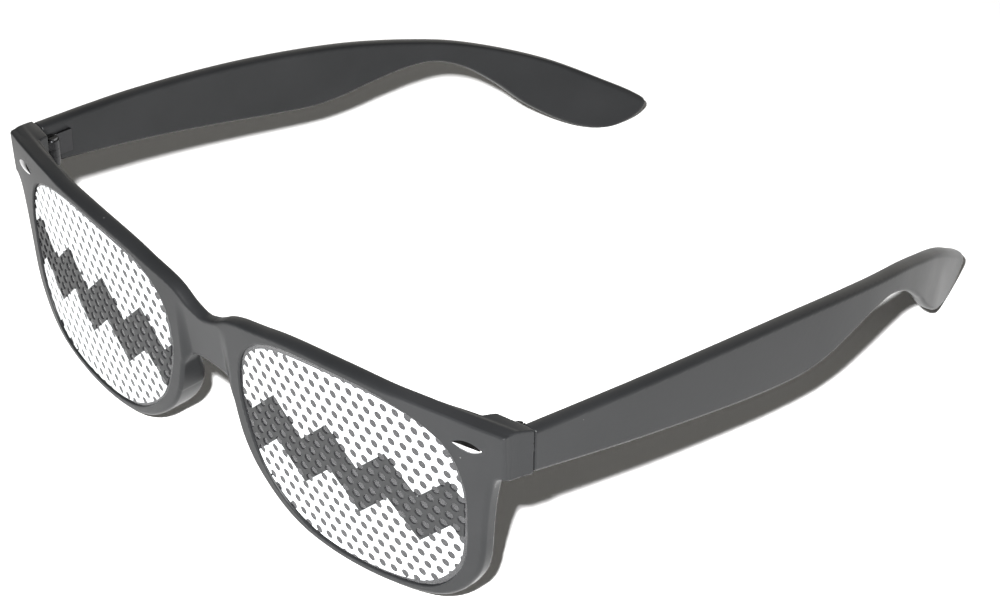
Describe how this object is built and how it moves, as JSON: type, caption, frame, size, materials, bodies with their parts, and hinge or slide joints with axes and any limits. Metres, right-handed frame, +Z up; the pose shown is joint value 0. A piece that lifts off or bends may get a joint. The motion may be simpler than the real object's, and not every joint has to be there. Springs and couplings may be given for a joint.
{
  "type": "novelty sunglasses",
  "caption": "Sunglasses with a broad-browed moulded plastic frame, dark lenses under printed see-through perforated films, and temples that fold on small metal hinges.",
  "frame": {"origin": "centre of the overall box, on the surface that the part stands on", "axes": "+X the wearer's left, +Y from the front back to the temple tips, +Z up"},
  "size_m": [0.15, 0.167, 0.0442],
  "materials": {
    "frame_plastic": "semi-gloss black moulded plastic",
    "lens_tint": "dark tinted, polished",
    "film_vinyl": "satin white vinyl with a grey print",
    "hinge_steel": "stamped, satin",
    "screw_steel": "turned, bright",
    "rivet_metal": "polished"
  },
  "bodies": {
    "front": {"frame_front": "frame_plastic", "lens_left": "lens_tint", "lens_right": "lens_tint", "film_left": "film_vinyl", "film_right": "film_vinyl", "front_leaf_left": "hinge_steel", "front_leaf_right": "hinge_steel", "hinge_screw_left": "screw_steel", "hinge_screw_right": "screw_steel", "rivet_left": "rivet_metal", "rivet_right": "rivet_metal"},
    "left_arm": {"temple_left": "frame_plastic", "temple_leaf_left": "hinge_steel"},
    "right_arm": {"temple_right": "frame_plastic", "temple_leaf_right": "hinge_steel"}
  },
  "joints": [
    {"name": "temple_left_fold", "type": "hinge", "parent": "front", "child": "left_arm", "pos_m": [0.0686, -0.06768, 0.038], "axis": [0, 0, 1], "range_deg": [0, 83]},
    {"name": "temple_right_fold", "type": "hinge", "parent": "front", "child": "right_arm", "pos_m": [-0.0686, -0.06768, 0.038], "axis": [0, 0, -1], "range_deg": [0, 74]}
  ]
}
